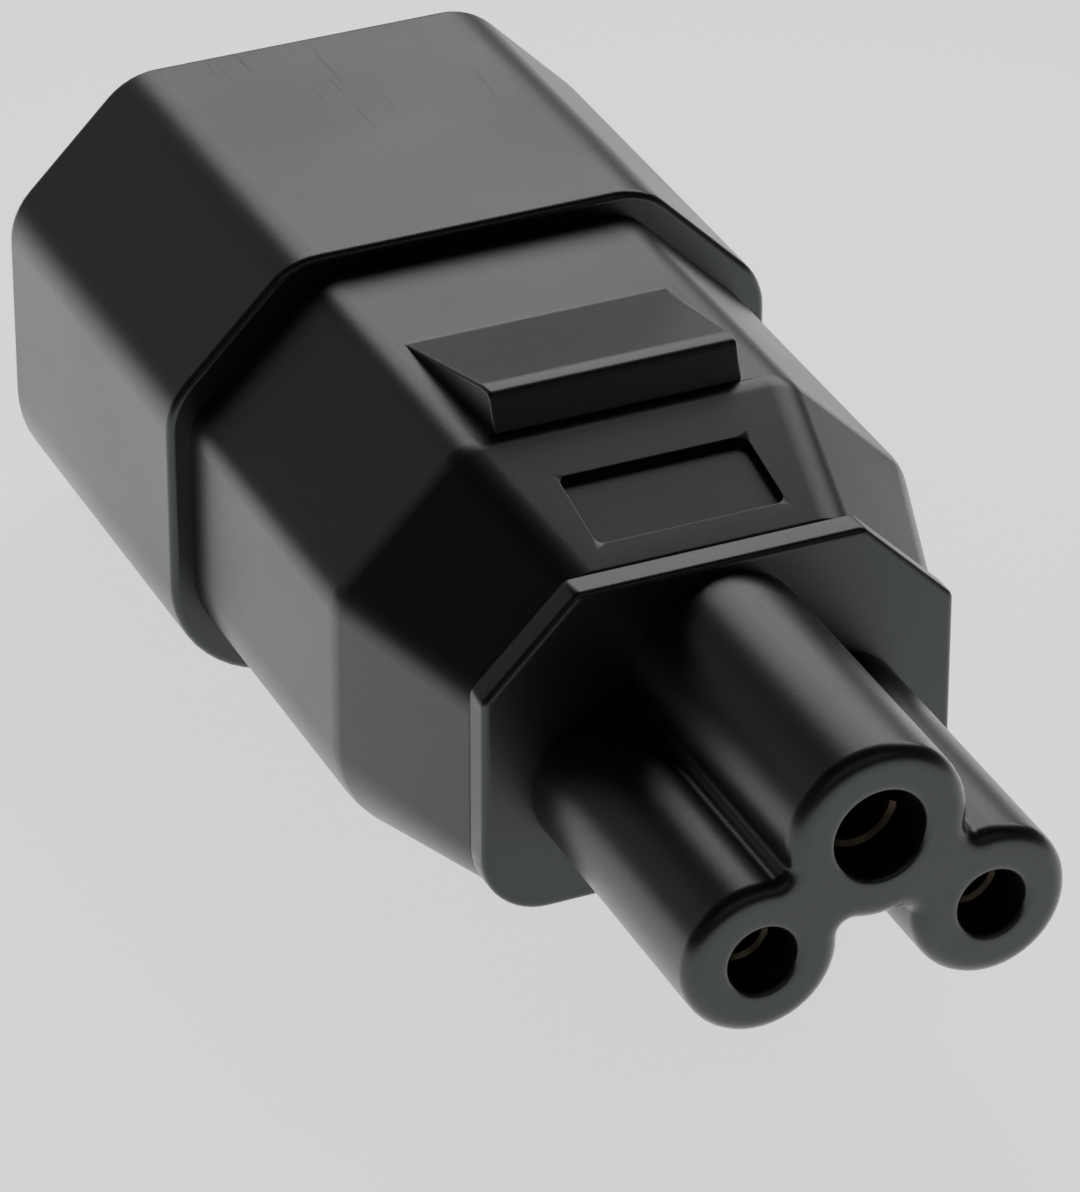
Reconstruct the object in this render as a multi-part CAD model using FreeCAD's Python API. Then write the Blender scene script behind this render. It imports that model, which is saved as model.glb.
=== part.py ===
import FreeCAD, Part
import math
import os
from dataclasses import dataclass, replace

Vector = FreeCAD.Vector

# A moulded mains adapter. It lies along Y: the inlet with its three blades opens to +Y, and the
# clover nose with its three contact barrels points to -Y. Z = 0 is the underside of the rear collar.

# Lengths along Y, from the inlet rim forward to the barrel tips.
collar_length = 19.75
straight_length = 15.9
taper_length = 8.25
flange_thickness = 1.35
nose_length = 14.8

# Rear collar: a box with its two upper corners cut off at 45 degrees.
collar_width = 28.4
collar_height = 20.2
collar_chamfer = 5.85
collar_corner_radius = 5.3
collar_ridge_radius = 2.4
step_bevel = 0.6
rim_bevel = 0.45
collar_wall = 1.9
collar_floor = 2.6
mouth_lead_in = 0.4

# Recess for the cord connector: one wall in from the collar, with tighter corners of its own.
recess_corner_radius = 2.5
recess_ridge_radius = 0.9

# Neck of the collar, locked into the grip by a groove behind its front rim.
neck_inset = 4.2
neck_length = 5.0
neck_groove_depth = 0.8
neck_groove_width = 1.8

# Grip body, one step smaller than the collar all round.
body_step = 1.0
body_chamfer = 5.75
grip_corner_radius = 4.3
grip_ridge_radius = 2.2
seam_step = 0.12
seam_chamfer = 4.6

# Raised finger wedge on top of the grip: a ramp up to a narrow level land, which ends in a steep front.
wedge_back_gap = 6.9
wedge_run = 8.0
wedge_rise = 1.65
wedge_land = 0.85
wedge_front_lean = 0.5
wedge_back_width = 12.1
wedge_front_width = 11.3
wedge_root = 0.6
wedge_crest_radius = 0.35

# Shallow bare label recess on the sloping top facet.
label_width = 8.5
label_start = 2.8
label_length = 4.1
label_depth = 0.36
label_corner_radius = 0.4

# Front flange of the nose insert.
flange_width = 21.3
flange_bottom = 2.5
flange_top = 17.25
flange_chamfer = 4.2
flange_corner_radius = 3.0
flange_ridge_radius = 0.5
flange_bevel = 0.3

# Clover nose: a centre barrel for earth above two side barrels.
socket_pitch = 10.1
side_barrel_z = 8.2
earth_barrel_z = 12.75
side_barrel_radius = 3.4
earth_barrel_radius = 3.95
outer_valley_radius = 1.1
inner_valley_radius = 0.6
barrel_tip_bevel = 0.55

# Entry holes and the lips that hold the sleeves.
side_entry_radius = 1.5
earth_entry_radius = 2.0
lip_depth = 2.4
entry_draft = 0.15

# Rolled contact sleeves and their stamped tails.
side_bore_radius = 1.2
earth_bore_radius = 1.65
sleeve_wall = 0.4
sleeve_length = 12.0
sleeve_clearance = 0.08
sleeve_slit = 0.5
sleeve_flare = 0.2
tail_height = 3.0
tail_overlap = 1.6
tail_clearance = 0.06
tail_bend_gap = 0.4
tail_margin = 2.2

# Back of the nose insert inside the grip, and the cap that closes it.
spigot_inset = 1.3
spigot_length = 5.0
cap_thickness = 1.8

# Inlet blades.
blade_pitch = 14.0
blade_line_z = 8.1
earth_rise = 4.0
blade_thickness = 2.0
blade_height = 4.0
blade_edge_bevel = 0.3
blade_tip_length = 1.5
blade_tip_inset = 0.5
line_setback = 4.6
earth_setback = 2.2
blade_clearance = 0.03
shoulder_length = 1.2
shoulder_height = 5.2

# Rivets that join tails to blades.
rivet_offset = 3.6
rivet_radius = 0.7
rivet_head_radius = 1.1
rivet_head_height = 0.5

# Stations along Y.
overall_length = collar_length + straight_length + taper_length + flange_thickness + nose_length
rim_y = overall_length / 2
step_y = rim_y - collar_length
fold_y = step_y - straight_length
seam_y = fold_y - taper_length
face_y = seam_y - flange_thickness
tip_y = face_y - nose_length
floor_y = step_y + collar_floor
neck_y = step_y - neck_length
shoulder_y = neck_y - shoulder_length
rivet_y = shoulder_y - rivet_offset
blade_end_y = rivet_y - tail_margin
tail_end_y = rivet_y + tail_margin
spigot_y = seam_y + spigot_length
cap_y = spigot_y + cap_thickness
mouth_y = tip_y + lip_depth
sleeve_end_y = mouth_y + sleeve_length

# How far past a face a cutting tool reaches, and how close counts as touching or parallel.
overcut = 1.0
tolerance = 1e-4


@dataclass(frozen=True)
class KeyedSection:
    """Box section with rounded lower corners and its two upper corners cut off at 45 degrees."""

    half_width: float
    bottom: float
    top: float
    chamfer: float
    corner_radius: float
    ridge_radius: float

    def inset(self, wall):
        """The same section moved inwards by one wall all round."""
        return KeyedSection(
            self.half_width - wall,
            self.bottom + wall,
            self.top - wall,
            self.chamfer - wall * (2 - math.sqrt(2)),
            max(self.corner_radius - wall, self.ridge_radius),
            self.ridge_radius,
        )

    def wire(self, y):
        """The section's outline in the plane at y."""
        ridge_x = self.half_width - self.chamfer
        ridge_z = self.top - self.chamfer
        return rounded_outline(
            [
                (-self.half_width, self.bottom, self.corner_radius),
                (self.half_width, self.bottom, self.corner_radius),
                (self.half_width, ridge_z, self.ridge_radius),
                (ridge_x, self.top, self.ridge_radius),
                (-ridge_x, self.top, self.ridge_radius),
                (-self.half_width, ridge_z, self.ridge_radius),
            ],
            y,
        )


def rounded_outline(corners, y):
    """Closed outline in the plane at y through (x, z, radius) corners, each with a tangent arc."""
    arcs = []
    for index, (x, z, radius) in enumerate(corners):
        here = Vector(x, y, z)
        before = corners[index - 1]
        after = corners[(index + 1) % len(corners)]
        back = (Vector(before[0], y, before[1]) - here).normalize()
        ahead = (Vector(after[0], y, after[1]) - here).normalize()
        half_angle = back.getAngle(ahead) / 2
        bisector = (back + ahead).normalize()
        reach = radius / math.tan(half_angle)
        middle = here + bisector * (radius / math.sin(half_angle) - radius)
        arcs.append((here + back * reach, middle, here + ahead * reach))
    edges = []
    for index, (start, middle, end) in enumerate(arcs):
        edges.append(Part.LineSegment(arcs[index - 1][2], start).toShape())
        edges.append(Part.Arc(start, middle, end).toShape())
    return Part.Wire(edges)


def prism(wire, length):
    """Solid swept from a closed outline towards +Y."""
    return Part.Face(wire).extrude(Vector(0, length, 0))


def frustum(first, second):
    """Solid between two matching outlines: flat between straight edges, ruled between arcs."""
    skin = [Part.Face(first), Part.Face(second)]
    for near, far in zip(first.Edges, second.Edges):
        if isinstance(near.Curve, Part.Line):
            corners = [near.Vertexes[0], near.Vertexes[1], far.Vertexes[1], far.Vertexes[0], near.Vertexes[0]]
            skin.append(Part.Face(Part.makePolygon([corner.Point for corner in corners])))
        else:
            skin.append(Part.makeRuledSurface(near, far))
    sewn = Part.makeCompound(skin)
    sewn.sewShape()
    return Part.makeSolid(Part.Shell(sewn.Faces))


def block(low, high):
    """Box between two corners."""
    return Part.makeBox(high[0] - low[0], high[1] - low[1], high[2] - low[2], Vector(*low))


def rod(radius, x, z, start_y, end_y):
    """Cylinder along Y."""
    return Part.makeCylinder(radius, end_y - start_y, Vector(x, start_y, z), Vector(0, 1, 0))


def plate(points, shift):
    """Solid swept from a flat polygon along a vector."""
    return Part.Face(Part.makePolygon(points + points[:1])).extrude(shift)


def end_edges(shape, y):
    """Edges round the outside of the flat end of a shape at y, and round the openings in that end."""
    end = min(shape.Faces, key=lambda face: abs(face.BoundBox.YMin - y) + abs(face.BoundBox.YMax - y))
    outside = end.OuterWire
    openings = [wire for wire in end.Wires if not wire.isSame(outside)]
    return outside.Edges, [edge for wire in openings for edge in wire.Edges]


def mirrored(shape):
    """The shape on the other side of the adapter's middle plane."""
    return shape.mirror(Vector(0, 0, 0), Vector(1, 0, 0))


collar = KeyedSection(
    collar_width / 2,
    0.0,
    collar_height,
    collar_chamfer,
    collar_corner_radius,
    collar_ridge_radius,
)
recess = replace(
    collar.inset(collar_wall),
    corner_radius=recess_corner_radius,
    ridge_radius=recess_ridge_radius,
)
neck = collar.inset(neck_inset)
body = KeyedSection(
    collar_width / 2 - body_step,
    body_step,
    collar_height - body_step,
    body_chamfer,
    grip_corner_radius,
    grip_ridge_radius,
)
flange = KeyedSection(
    flange_width / 2,
    flange_bottom,
    flange_top,
    flange_chamfer,
    flange_corner_radius,
    flange_ridge_radius,
)
seam = KeyedSection(
    flange_width / 2 - seam_step,
    flange_bottom + seam_step,
    flange_top - seam_step,
    seam_chamfer,
    grip_corner_radius,
    grip_ridge_radius,
)
spigot = flange.inset(spigot_inset)


# Inner pieces: blades, sleeves, rivets.

line_blade_x = -blade_pitch / 2
earth_blade_z = blade_line_z + earth_rise
line_socket_x = -socket_pitch / 2
side_rivet_z = (blade_line_z + side_barrel_z) / 2
earth_rivet_z = (earth_blade_z + earth_barrel_z) / 2
side_sleeve_radius = side_bore_radius + sleeve_wall
earth_sleeve_radius = earth_bore_radius + sleeve_wall
line_tail_x = line_socket_x - side_sleeve_radius
earth_tail_x = -earth_sleeve_radius
joint_offset = blade_thickness / 2 + sleeve_wall
line_joint_x = line_blade_x - joint_offset
earth_joint_x = -joint_offset


def blade_outline(x, z, y, inset):
    """Outline of a blade with bevelled edges in the plane at y, moved inwards by inset."""
    wide = blade_thickness / 2 - inset
    high = blade_height / 2 - inset
    flat_wide = wide - blade_edge_bevel
    flat_high = high - blade_edge_bevel
    quarter = [(wide, flat_high), (flat_wide, high)]
    half = quarter + [(-across, up) for across, up in reversed(quarter)]
    corners = half + [(-across, -up) for across, up in half]
    points = [Vector(x + across, y, z + up) for across, up in corners]
    return Part.makePolygon(points + points[:1])


def blade(x, z, setback, rivet_z):
    """Flat inlet blade with a tapered tip, a stop shoulder and a rivet hole."""
    tip_end_y = rim_y - setback
    taper_y = tip_end_y - blade_tip_length
    shank = prism(blade_outline(x, z, blade_end_y, 0.0), taper_y - blade_end_y)
    tip = frustum(blade_outline(x, z, taper_y, 0.0), blade_outline(x, z, tip_end_y, blade_tip_inset))
    shoulder = block(
        (x - blade_thickness / 2, shoulder_y, z - shoulder_height / 2),
        (x + blade_thickness / 2, neck_y, z + shoulder_height / 2),
    )
    hole = Part.makeCylinder(
        rivet_radius,
        blade_thickness + 2 * overcut,
        Vector(x - blade_thickness / 2 - overcut, rivet_y, rivet_z),
        Vector(1, 0, 0),
    )
    return shank.fuse([tip, shoulder]).removeSplitter().cut(hole)


def tail(tail_x, joint_x, z):
    """Stamped tail: a strip that leaves the sleeve's side and steps over to its blade."""
    bend_start_y = cap_y + tail_bend_gap
    bend_end_y = blade_end_y - tail_bend_gap
    low_z = z - tail_height / 2
    outer = [
        Vector(tail_x, sleeve_end_y - tail_overlap, low_z),
        Vector(tail_x, bend_start_y, low_z),
        Vector(joint_x, bend_end_y, low_z),
        Vector(joint_x, tail_end_y, low_z),
    ]
    inner = [point + Vector(sleeve_wall, 0, 0) for point in reversed(outer)]
    return plate(outer + inner, Vector(0, 0, tail_height))


def socket(x, z, bore_radius, tail_x, joint_x, rivet_z):
    """Rolled sleeve with a flared mouth and a slit, in one piece with its tail."""
    outer_radius = bore_radius + sleeve_wall
    sleeve = rod(outer_radius, x, z, mouth_y, sleeve_end_y)
    bore = rod(bore_radius, x, z, mouth_y - overcut, sleeve_end_y + overcut)
    flare = Part.makeCone(
        bore_radius + sleeve_flare,
        bore_radius,
        sleeve_flare,
        Vector(x, mouth_y, z),
        Vector(0, 1, 0),
    )
    slit = block(
        (x, mouth_y - overcut, z - sleeve_slit / 2),
        (x + outer_radius + overcut, sleeve_end_y + overcut, z + sleeve_slit / 2),
    )
    strip = tail(tail_x, joint_x, z)
    hole = Part.makeCylinder(
        rivet_radius,
        sleeve_wall + 2 * overcut,
        Vector(joint_x - overcut, rivet_y, rivet_z),
        Vector(1, 0, 0),
    )
    return sleeve.fuse(strip).cut([bore, flare, slit, hole]).removeSplitter()


def rivet(head_x, flush_x, z):
    """Rivet along X, with a low flat head on the tail and its other end flush with the blade."""
    inwards = Vector(flush_x - head_x, 0, 0)
    seat = Vector(head_x, rivet_y, z)
    shank = Part.makeCylinder(rivet_radius, inwards.Length, seat, inwards)
    head = Part.makeCylinder(rivet_head_radius, rivet_head_height, seat, inwards * -1)
    return shank.fuse(head).removeSplitter()


line_blade = blade(line_blade_x, blade_line_z, line_setback, side_rivet_z)
neutral_blade = mirrored(line_blade)
earth_blade = blade(0.0, earth_blade_z, earth_setback, earth_rivet_z)

line_socket = socket(line_socket_x, side_barrel_z, side_bore_radius, line_tail_x, line_joint_x, side_rivet_z)
neutral_socket = mirrored(line_socket)
earth_socket = socket(0.0, earth_barrel_z, earth_bore_radius, earth_tail_x, earth_joint_x, earth_rivet_z)

line_rivet = rivet(line_joint_x, line_blade_x + blade_thickness / 2, side_rivet_z)
earth_rivet = rivet(earth_joint_x, blade_thickness / 2, earth_rivet_z)
rivets = [line_rivet, mirrored(line_rivet), earth_rivet]


# Rear collar with its blade recess and its neck.

def neck_block():
    """Solid of the neck, with the locking groove behind its front rim."""
    groove_y = step_y - neck_groove_width
    rim_part = prism(neck.wire(neck_y), groove_y - neck_y)
    groove_part = prism(neck.inset(neck_groove_depth).wire(groove_y), neck_groove_width)
    return rim_part.fuse(groove_part)


def blade_slot(x, z):
    """Slot that a blade passes through, from the neck's front to the recess floor."""
    return prism(blade_outline(x, z, neck_y - overcut, -blade_clearance), floor_y - neck_y + 2 * overcut)


def rear_shroud():
    """Collar, floor and neck of the inlet, moulded in one piece."""
    shell = prism(collar.wire(step_y), collar_length)
    shell = shell.makeChamfer(step_bevel, end_edges(shell, step_y)[0])
    shell = shell.makeChamfer(rim_bevel, end_edges(shell, rim_y)[0])
    shell = shell.cut(prism(recess.wire(floor_y), rim_y - floor_y + overcut))
    shell = shell.makeChamfer(mouth_lead_in, end_edges(shell, rim_y)[1])
    slots = [
        blade_slot(line_blade_x, blade_line_z),
        blade_slot(-line_blade_x, blade_line_z),
        blade_slot(0.0, earth_blade_z),
    ]
    return shell.fuse(neck_block()).cut(slots).removeSplitter()


# Nose insert with its three barrels.

def clover_outline(y):
    """Outline of the three merged barrels in the plane at y."""
    side = Vector(line_socket_x, y, side_barrel_z)
    centre = Vector(0, y, earth_barrel_z)
    span = (side - centre).Length
    along = (side - centre).normalize()
    across = Vector(along.z, 0, -along.x)

    def valley(radius, direction):
        """Tangent points and middle of the arc that fills the valley on one side of the two barrels."""
        from_centre = earth_barrel_radius + radius
        from_side = side_barrel_radius + radius
        run = (from_centre ** 2 - from_side ** 2 + span ** 2) / (2 * span)
        offset = math.sqrt(from_centre ** 2 - run ** 2)
        hub = centre + along * run + direction * offset
        on_centre = centre + (hub - centre).normalize() * earth_barrel_radius
        on_side = side + (hub - side).normalize() * side_barrel_radius
        middle = hub + ((on_centre + on_side) * 0.5 - hub).normalize() * radius
        return on_centre, middle, on_side

    outer = valley(outer_valley_radius, across)
    inner = valley(inner_valley_radius, across * -1)
    side_far = side + along * side_barrel_radius
    half = [outer, (outer[2], side_far, inner[2]), inner[::-1]]
    other = [tuple(Vector(-point.x, y, point.z) for point in arc[::-1]) for arc in reversed(half)]
    under = (inner[0], centre - Vector(0, 0, earth_barrel_radius), other[0][0])
    over = (other[-1][2], centre + Vector(0, 0, earth_barrel_radius), outer[0])
    return Part.Wire([Part.Arc(*arc).toShape() for arc in half + [under] + other + [over]])


def tail_way(tail_x, z, start_y, end_y):
    """Room for a straight stretch of tail, with its clearance."""
    half_height = tail_height / 2 + tail_clearance
    return block(
        (tail_x - tail_clearance, start_y, z - half_height),
        (tail_x + sleeve_wall + tail_clearance, end_y, z + half_height),
    )


def contact_cavity(x, z, entry_radius, sleeve_radius, tail_x):
    """Entry hole with moulding draft, sleeve seat and tail channel of one contact."""
    entry = Part.makeCone(
        entry_radius,
        entry_radius - entry_draft,
        lip_depth + tolerance,
        Vector(x, tip_y, z),
        Vector(0, 1, 0),
    )
    seat = rod(sleeve_radius + sleeve_clearance, x, z, mouth_y, spigot_y + overcut)
    channel = tail_way(tail_x, z, sleeve_end_y - tail_overlap - tail_clearance, spigot_y + overcut)
    return [entry, seat, channel]


def nose_insert():
    """Flange, barrels and spigot of the socket, moulded in one piece."""
    flange_plate = prism(flange.wire(face_y), flange_thickness)
    flange_plate = flange_plate.makeChamfer(flange_bevel, end_edges(flange_plate, face_y)[0])
    flange_plate = flange_plate.makeChamfer(flange_bevel, end_edges(flange_plate, seam_y)[0])
    barrels = prism(clover_outline(tip_y), nose_length)
    barrels = barrels.makeChamfer(barrel_tip_bevel, end_edges(barrels, tip_y)[0])
    line_cavity = contact_cavity(
        line_socket_x,
        side_barrel_z,
        side_entry_radius,
        side_sleeve_radius,
        line_tail_x,
    )
    earth_cavity = contact_cavity(
        0.0,
        earth_barrel_z,
        earth_entry_radius,
        earth_sleeve_radius,
        earth_tail_x,
    )
    neutral_cavity = [mirrored(tool) for tool in line_cavity]
    solid = flange_plate.fuse([barrels, prism(spigot.wire(seam_y), spigot_length)])
    return solid.cut(line_cavity + neutral_cavity + earth_cavity).removeSplitter()


def socket_cap():
    """Plate that closes the back of the spigot around the three tails."""
    line_slot = tail_way(line_tail_x, side_barrel_z, spigot_y - overcut, cap_y + overcut)
    earth_slot = tail_way(earth_tail_x, earth_barrel_z, spigot_y - overcut, cap_y + overcut)
    slots = [line_slot, mirrored(line_slot), earth_slot]
    return prism(spigot.wire(spigot_y), cap_thickness).cut(slots)


# Grip moulded around the neck, the contacts and the spigot.

def finger_wedge():
    """Ramp that rises from the top of the grip to a level land with a steep front."""
    back_y = step_y - wedge_back_gap
    crest_y = back_y - wedge_run
    foot_y = crest_y - wedge_front_lean
    crest_z = body.top + wedge_rise
    root_z = body.top - wedge_root
    side_view = plate(
        [
            Vector(-collar_width / 2, back_y, root_z),
            Vector(-collar_width / 2, back_y, body.top),
            Vector(-collar_width / 2, crest_y + wedge_land, crest_z),
            Vector(-collar_width / 2, crest_y, crest_z),
            Vector(-collar_width / 2, foot_y, body.top),
            Vector(-collar_width / 2, foot_y, root_z),
        ],
        Vector(collar_width, 0, 0),
    )
    top_view = plate(
        [
            Vector(-wedge_back_width / 2, back_y, root_z),
            Vector(wedge_back_width / 2, back_y, root_z),
            Vector(wedge_front_width / 2, foot_y, root_z),
            Vector(-wedge_front_width / 2, foot_y, root_z),
        ],
        Vector(0, 0, wedge_root + wedge_rise),
    )
    wedge = side_view.common(top_view)
    front_edges = [edge for edge in wedge.Edges if edge.BoundBox.YMax < crest_y + tolerance]
    crest = [edge for edge in front_edges if edge.BoundBox.ZMin > crest_z - tolerance]
    return wedge.makeFillet(wedge_crest_radius, crest)


def label_recess():
    """Pocket in the top facet of the taper, square to the facet."""
    fold = Vector(0, fold_y, body.top)
    down_slope = (Vector(0, seam_y, seam.top) - fold).normalize()
    outward = down_slope.cross(Vector(1, 0, 0))
    side = Vector(label_width / 2, 0, 0)
    near = fold + down_slope * label_start - outward * label_depth
    far = near + down_slope * label_length
    pocket = plate([near - side, near + side, far + side, far - side], outward * (label_depth + overcut))
    directions = [(edge, edge.tangentAt(edge.FirstParameter)) for edge in pocket.Edges]
    corners = [edge for edge, direction in directions if direction.cross(outward).Length < tolerance]
    return pocket.makeFillet(label_corner_radius, corners)


def grip_body():
    """Moulded grip, closed round everything that it holds."""
    straight = prism(body.wire(fold_y), straight_length)
    taper = frustum(body.wire(fold_y), seam.wire(seam_y))
    shell = straight.fuse([taper, finger_wedge()]).removeSplitter().cut(label_recess())
    held = [neck_block(), prism(spigot.wire(seam_y), spigot_length + cap_thickness)]
    held += [line_blade, neutral_blade, earth_blade]
    held += [line_socket, neutral_socket, earth_socket]
    return shell.cut(held + rivets)


nodes = {
    "rear_shroud": rear_shroud(),
    "grip_body": grip_body(),
    "nose_insert": nose_insert(),
    "socket_cap": socket_cap(),
    "line_blade": line_blade,
    "neutral_blade": neutral_blade,
    "earth_blade": earth_blade,
    "line_socket": line_socket,
    "neutral_socket": neutral_socket,
    "earth_socket": earth_socket,
    "contact_rivets": Part.makeCompound(rivets),
}

os.makedirs("parts", exist_ok=True)
for name, shape in nodes.items():
    shape.exportStep(f"parts/{name}.step")
    print(name, len(shape.Solids), "solid", round(shape.Volume, 2), "mm3", shape.isValid())
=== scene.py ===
"""Looks of a moulded power cord adapter: keyed collar, grip with finger wedge, clover nose and contacts."""

import logging
import math
from collections.abc import Iterable, Sequence
from dataclasses import dataclass, replace
from enum import Enum

import bmesh
import bpy
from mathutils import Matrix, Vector


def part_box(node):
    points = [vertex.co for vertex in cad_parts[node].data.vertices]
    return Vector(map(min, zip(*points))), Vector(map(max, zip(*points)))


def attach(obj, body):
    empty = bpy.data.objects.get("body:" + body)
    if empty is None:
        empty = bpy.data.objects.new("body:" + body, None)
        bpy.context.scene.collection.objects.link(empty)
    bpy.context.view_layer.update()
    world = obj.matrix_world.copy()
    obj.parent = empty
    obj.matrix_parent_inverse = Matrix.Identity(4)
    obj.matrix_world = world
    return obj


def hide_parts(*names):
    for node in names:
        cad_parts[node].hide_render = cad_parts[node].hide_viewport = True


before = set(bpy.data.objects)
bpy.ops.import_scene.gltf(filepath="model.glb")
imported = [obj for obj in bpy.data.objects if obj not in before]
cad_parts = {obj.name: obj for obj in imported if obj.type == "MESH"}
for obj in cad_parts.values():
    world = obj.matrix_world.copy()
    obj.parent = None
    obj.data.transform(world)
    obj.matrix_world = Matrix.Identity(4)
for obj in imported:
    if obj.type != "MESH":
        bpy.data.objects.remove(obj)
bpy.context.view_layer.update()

LOG = logging.getLogger("adapter")
MM = 0.001

# Meshing, in millimetres and radians.
ARC_STEP = math.radians(7.5)
FEWEST_ARC_STEPS = 3
FEWEST_SEGMENTS = 2
SEGMENT_REACH = 0.25
SHARP_ANGLE = math.radians(32)
CUT_ANGLE = math.radians(45)
WELD_GAP = 1e-4
CLOSING_GAP = 1e-3
RING_LIFT = 90.0
SEED_INSET = 1.0
MIRROR = Vector((-1, 1))

# Shares of a unit normal: a face looks sideways above the first, and stands upright below the second.
SIDEWAYS = 0.7
UPRIGHT = 0.1

# Shading. A Mix node has several sockets of one name, so those for colours go by their numbers.
EDGE_LAYER = "edge_polish"
NOISE_MIDDLE = 0.5
MIX_FIRST = 6
MIX_SECOND = 7
MIX_RESULT = 2

Colour = tuple[float, float, float]
Band = tuple[float, float]
Ring = list[bmesh.types.BMEdge]


class Slot(Enum):
    """Names of the record's material slots for the grip, collar and nose."""

    GRIP = "grip_compound"
    COLLAR = "collar_plastic"
    NOSE = "nose_plastic"


class Turn(Enum):
    """Which way an arc runs, seen from the nose: the value is the sign of its angle."""

    LEFT = 1
    RIGHT = -1


class Valley(Enum):
    """Which valley between two barrels: the value is the sign of its direction from their middle."""

    OUTER = 1
    INNER = -1


# Shader nodes as Python expressions.


class Signal:
    """A number that varies over a surface: an output socket that takes part in arithmetic."""

    def __init__(self, bench: "ShaderBench", socket: bpy.types.NodeSocket) -> None:
        """Keeps the socket and the bench that adds the Math nodes."""
        self.bench = bench
        self.socket = socket

    def _math(self, operation: str, first: "Signal | float", second: "Signal | float") -> "Signal":
        """Adds one Math node.

        Args:
            operation: Blender's name of the operation.
            first: Left operand.
            second: Right operand.

        Returns:
            The node's result.
        """
        node = self.bench.node("ShaderNodeMath", {"operation": operation}, {0: first, 1: second})
        return Signal(self.bench, node.outputs[0])

    def __add__(self, other: "Signal | float") -> "Signal":
        """Sum."""
        return self._math("ADD", self, other)

    def __radd__(self, other: float) -> "Signal":
        """Sum with a number on the left."""
        return self._math("ADD", other, self)

    def __sub__(self, other: "Signal | float") -> "Signal":
        """Difference."""
        return self._math("SUBTRACT", self, other)

    def __rsub__(self, other: float) -> "Signal":
        """Difference from a number on the left."""
        return self._math("SUBTRACT", other, self)

    def __mul__(self, other: "Signal | float") -> "Signal":
        """Product."""
        return self._math("MULTIPLY", self, other)

    def __rmul__(self, other: float) -> "Signal":
        """Product with a number on the left."""
        return self._math("MULTIPLY", other, self)

    def between(self, low: float, high: float) -> "Signal":
        """Smooth step of this signal.

        Args:
            low: Where the step starts at 0.
            high: Where it reaches 1.

        Returns:
            The step.
        """
        settings = {"interpolation_type": "SMOOTHSTEP"}
        sockets = {"Value": self, "From Min": low, "From Max": high}
        node = self.bench.node("ShaderNodeMapRange", settings, sockets)
        return Signal(self.bench, node.outputs[0])


@dataclass(frozen=True)
class Clouds:
    """A cloudy pattern: size of one cloud, octaves of detail, and its stretch along each axis.

    The band, where there is one, is the range of the noise over which the pattern sets in.
    """

    size_mm: float
    detail: float
    stretch: Sequence[float] = (1.0, 1.0, 1.0)
    band: Band | None = None


class ShaderBench:
    """One material under construction."""

    def __init__(self, name: str) -> None:
        """Starts an empty material with Object coordinates at hand.

        Args:
            name: Name of the material.
        """
        self.material = bpy.data.materials.new(name)
        self.material.use_nodes = True
        self.tree = self.material.node_tree
        self.tree.nodes.clear()
        self.place = self.node("ShaderNodeTexCoord", {}, {}).outputs["Object"]

    def node(self, kind: str, settings: dict, sockets: dict) -> bpy.types.Node:
        """Adds a node.

        Args:
            kind: Blender's type name of the node.
            settings: Attributes, set before the sockets.
            sockets: Values, signals or sockets by input name or number.

        Returns:
            The new node.
        """
        node = self.tree.nodes.new(kind)
        for name, value in settings.items():
            setattr(node, name, value)
        for name, value in sockets.items():
            source = value.socket if isinstance(value, Signal) else value
            if isinstance(source, bpy.types.NodeSocket):
                self.tree.links.new(source, node.inputs[name])
            else:
                node.inputs[name].default_value = source
        return node

    def noise(self, clouds: Clouds) -> Signal:
        """Lays a cloudy pattern over the piece.

        Args:
            clouds: What the pattern is like.

        Returns:
            Noise around its middle, or a pattern from 0 to 1 where the clouds have a band.
        """
        scale = [1 / (clouds.size_mm * MM * along) for along in clouds.stretch]
        mapping = self.node("ShaderNodeMapping", {}, {"Vector": self.place, "Scale": scale})
        sockets = {"Vector": mapping.outputs[0], "Scale": 1.0, "Detail": clouds.detail}
        noise = Signal(self, self.node("ShaderNodeTexNoise", {}, sockets).outputs["Fac"])
        return noise.between(*clouds.band) if clouds.band else noise

    def distance(self) -> Signal:
        """Distance from the object's origin."""
        node = self.node("ShaderNodeVectorMath", {"operation": "LENGTH"}, {0: self.place})
        return Signal(self, node.outputs["Value"])

    def attribute(self, name: str) -> Signal:
        """A number kept on the mesh."""
        return Signal(self, self.node("ShaderNodeAttribute", {"attribute_name": name}, {}).outputs["Fac"])

    def blend(
        self, mask: Signal, first: Colour | bpy.types.NodeSocket, second: Colour
    ) -> bpy.types.NodeSocket:
        """Mix of two colours by a mask.

        Args:
            mask: 0 for the first colour, 1 for the second.
            first: Linear colour, or the output of an earlier blend.
            second: Linear colour.

        Returns:
            The colour socket.
        """
        start = first if isinstance(first, bpy.types.NodeSocket) else (*first, 1.0)
        sockets = {"Factor": mask, MIX_FIRST: start, MIX_SECOND: (*second, 1.0)}
        node = self.node("ShaderNodeMix", {"data_type": "RGBA"}, sockets)
        return node.outputs[MIX_RESULT]

    def bump(self, height: Signal, depth_mm: float, strength: float) -> bpy.types.NodeSocket:
        """Surface relief from a height between 0 and 1."""
        sockets = {"Height": height, "Distance": depth_mm * MM, "Strength": strength}
        return self.node("ShaderNodeBump", {}, sockets).outputs[0]

    def finish(self, sockets: dict) -> bpy.types.Material:
        """Closes the material with a Principled shader.

        Args:
            sockets: Inputs of the shader by name.

        Returns:
            The material.
        """
        shader = self.node("ShaderNodeBsdfPrincipled", {}, sockets)
        self.node("ShaderNodeOutputMaterial", {}, {"Surface": shader.outputs[0]})
        return self.material


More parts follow.
